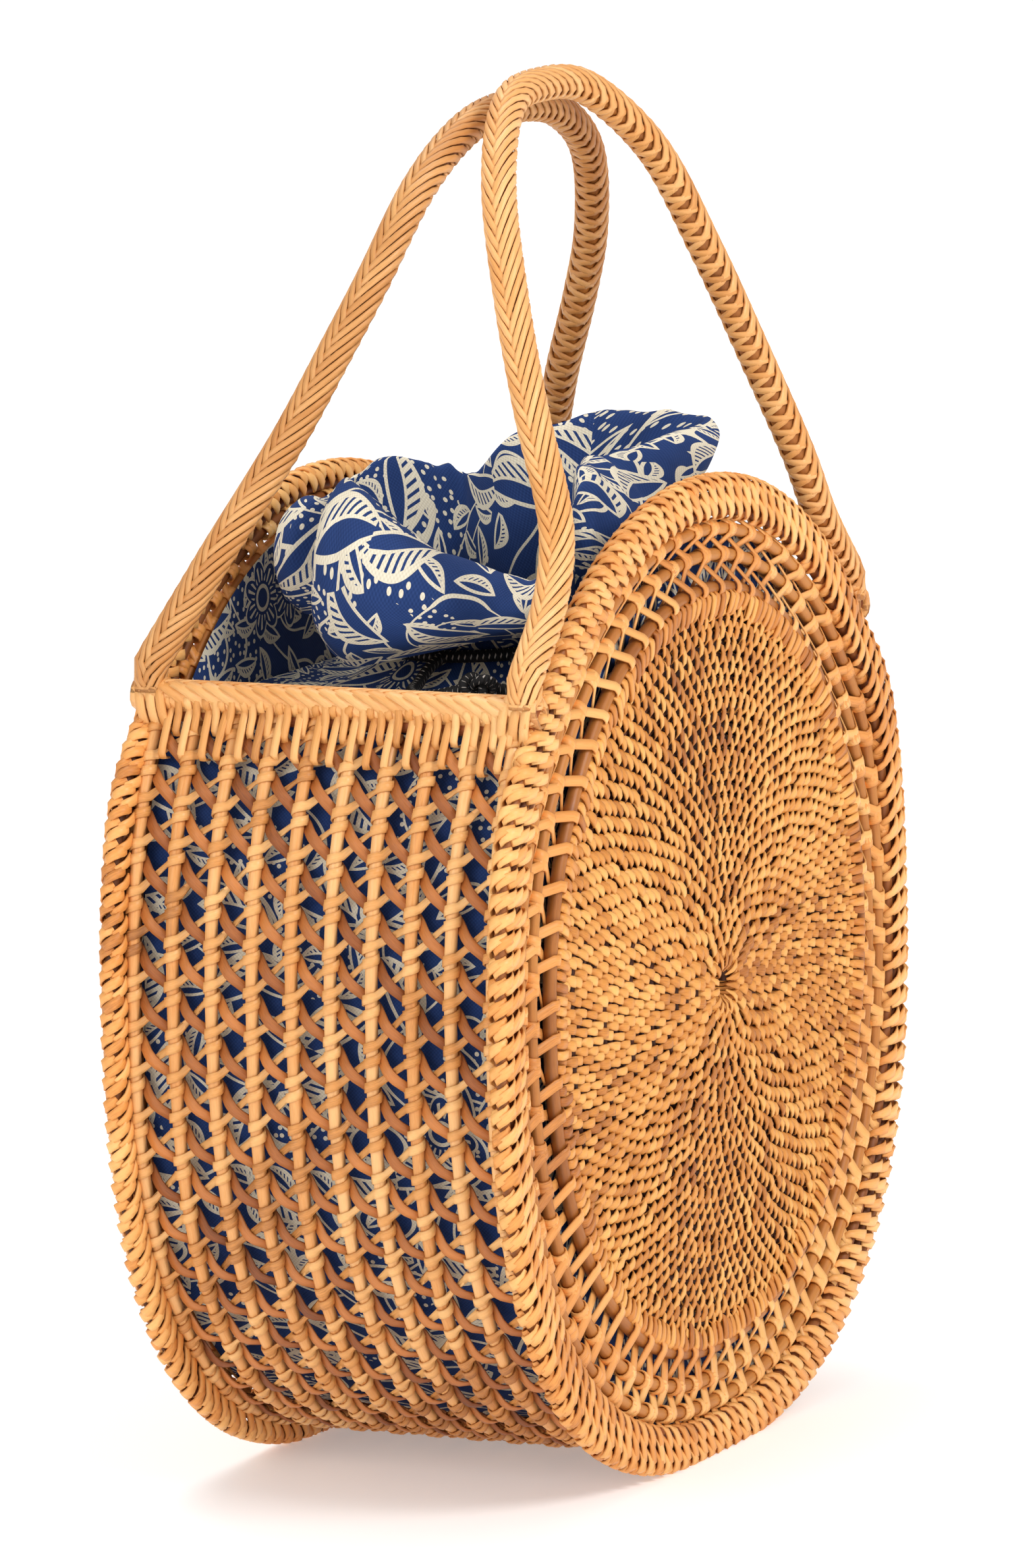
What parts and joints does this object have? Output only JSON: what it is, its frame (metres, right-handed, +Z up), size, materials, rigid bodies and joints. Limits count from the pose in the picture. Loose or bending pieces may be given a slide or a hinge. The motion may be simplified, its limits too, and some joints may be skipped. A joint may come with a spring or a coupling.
{
  "type": "basket bag",
  "caption": "Round openwork cane basket bag with coiled discs, laced gusset, printed drawstring liner and two plaited handles that lean together.",
  "frame": {"origin": "middle of the footprint, on the surface that the two disc borders stand on", "axes": "+Z up, +X across the discs, front disc faces -Y"},
  "size_m": [0.38, 0.174, 0.5508],
  "materials": {
    "coil": "split cane, stitched, satin",
    "cane_brown": "round cane, satin",
    "cane_gold": "round cane, satin",
    "strip_gold": "split cane skin, satin gloss",
    "strip_red": "split cane heart, fibrous, matt",
    "printed_cotton": null,
    "cord": "braided cord, black with pale flecks"
  },
  "bodies": {
    "basket": {"front_coil_disc": "coil", "front_hoop_1": "cane_brown", "front_hoop_2": "cane_brown", "front_ties": "strip_gold", "front_border": "strip_gold", "back_coil_disc": "coil", "back_hoop_1": "cane_brown", "back_hoop_2": "cane_brown", "back_ties": "strip_gold", "back_border": "strip_gold", "gusset_cane_01": "cane_gold", "gusset_cane_02": "cane_gold", "gusset_cane_03": "cane_gold", "gusset_cane_04": "cane_gold", "gusset_cane_05": "cane_gold", "gusset_cane_06": "cane_gold", "gusset_cane_07": "cane_gold", "gusset_cane_08": "cane_gold", "gusset_cane_09": "cane_gold", "gusset_cane_10": "cane_gold", "gusset_lacing_light": "strip_gold", "gusset_lacing_dark": "strip_red", "left_rim_rod": "strip_red", "left_rim_braid": "strip_gold", "left_rim_binding": "strip_gold", "right_rim_rod": "strip_red", "right_rim_braid": "strip_gold", "right_rim_binding": "strip_gold", "liner_front_panel": "printed_cotton", "liner_back_panel": "printed_cotton", "liner_gusset": "printed_cotton", "liner_shoulder": "printed_cotton", "liner_collar": "printed_cotton", "drawcord": "cord", "drawcord_tail_1": "cord", "drawcord_tail_2": "cord", "drawcord_knot": "cord"},
    "front_handle": {"front_handle_core": "cane_brown", "front_handle_braid": "strip_gold"},
    "back_handle": {"back_handle_core": "cane_brown", "back_handle_braid": "strip_gold"}
  },
  "joints": [
    {"name": "front_handle_hinge", "type": "hinge", "parent": "basket", "child": "front_handle", "pos_m": [0, -0.0804, 0.3318], "axis": [1, 0, 0], "range_deg": [0, 25]},
    {"name": "back_handle_hinge", "type": "hinge", "parent": "basket", "child": "back_handle", "pos_m": [0, 0.0804, 0.3318], "axis": [-1, 0, 0], "range_deg": [0, 25]}
  ]
}
